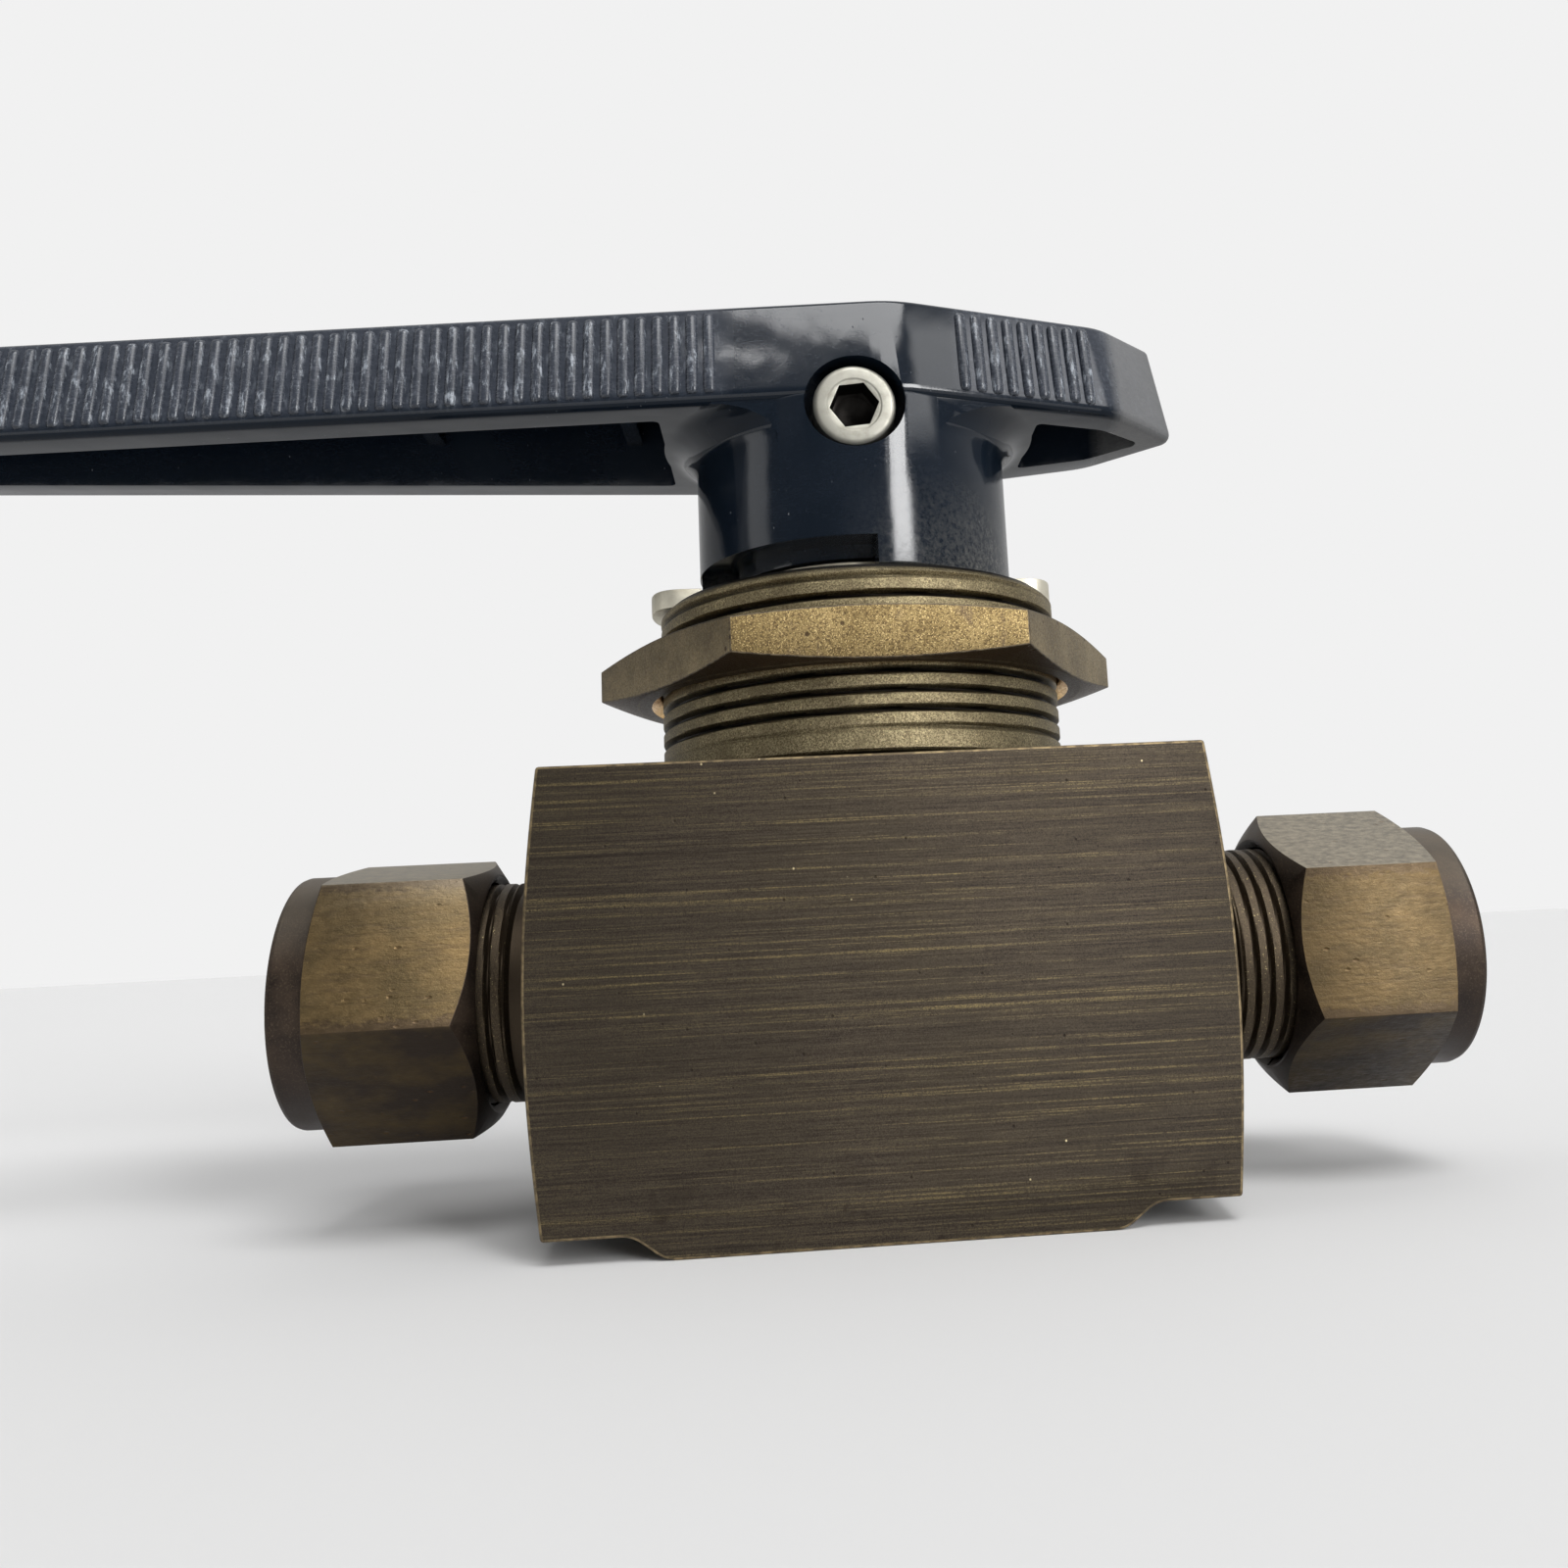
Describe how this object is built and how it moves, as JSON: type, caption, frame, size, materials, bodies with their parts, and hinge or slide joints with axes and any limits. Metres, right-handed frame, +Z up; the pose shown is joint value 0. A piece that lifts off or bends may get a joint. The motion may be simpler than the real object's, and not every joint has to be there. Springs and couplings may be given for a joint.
{
  "type": "panel-mount ball valve",
  "caption": "Quarter-turn brass ball valve for a panel, with a compression tube fitting at each end, a threaded neck with its hexagon nut, and a long black lever.",
  "frame": {"origin": "centre of the flat base under the body, on the stem axis", "axes": "+Z up along the stem, X along the flow with the lever pointing to -X when the valve is open, -Y the side of the lever's screw"},
  "size_m": [0.1537, 0.0422, 0.0788],
  "materials": {
    "aged_brass": "drawn bar with fine lengthwise scratches under a dark brown patina",
    "neck_brass": "machined thread, dulled to a sandy brown",
    "nut_brass": "golden brown tarnish with dark pits",
    "bright_brass": "turned, bright",
    "stainless": "satin",
    "ptfe": "moulded white seal plastic",
    "black_nylon": "glossy moulded nylon, scuffed on the ribs"
  },
  "bodies": {
    "root": {"valve_body": "aged_brass", "packing_bolt": "neck_brass", "stop_plate": "stainless", "upper_packing": "ptfe", "lower_packing": "ptfe", "side_disc_left": "stainless", "side_disc_right": "stainless", "side_ring_left": "stainless", "side_ring_right": "stainless", "lower_gland": "stainless", "upper_gland": "stainless", "ground_spring": "stainless"},
    "handle": {"handle_lever": "black_nylon", "handle_insert": "bright_brass", "handle_screw": "stainless", "ball_stem": "stainless"},
    "panel_nut": {"panel_nut": "nut_brass"},
    "left_ferrules": {"front_ferrule_left": "bright_brass", "back_ferrule_left": "bright_brass"},
    "left_nut": {"tube_nut_left": "nut_brass"},
    "right_ferrules": {"front_ferrule_right": "bright_brass", "back_ferrule_right": "bright_brass"},
    "right_nut": {"tube_nut_right": "nut_brass"}
  },
  "joints": [
    {"name": "handle_turn", "type": "hinge", "parent": "root", "child": "handle", "pos_m": [0, 0, 0.0197], "axis": [0, 0, 1], "range_deg": [-90, 0]},
    {"name": "panel_nut_travel", "type": "slide", "parent": "root", "child": "panel_nut", "axis": [0, 0, 1], "range_m": [-0.0069, 0.004]},
    {"name": "left_nut_advance", "type": "slide", "parent": "root", "child": "left_ferrules", "axis": [-1, 0, 0], "range_m": [0, 0.00888]},
    {"name": "left_nut_spin", "type": "hinge", "parent": "left_ferrules", "child": "left_nut", "pos_m": [-0.041, 0, 0.0197], "axis": [-1, 0, 0], "range_deg": [0, 2520]},
    {"name": "right_nut_advance", "type": "slide", "parent": "root", "child": "right_ferrules", "axis": [1, 0, 0], "range_m": [-0.00246, 0.00641]},
    {"name": "right_nut_spin", "type": "hinge", "parent": "right_ferrules", "child": "right_nut", "pos_m": [0.0435, 0, 0.0197], "axis": [1, 0, 0], "range_deg": [-700, 1820]}
  ],
  "couplings": [
    {"joint": "left_nut_spin", "follows": "left_nut_advance", "rad_per_m": 4947.4},
    {"joint": "right_nut_spin", "follows": "right_nut_advance", "rad_per_m": 4947.4}
  ]
}
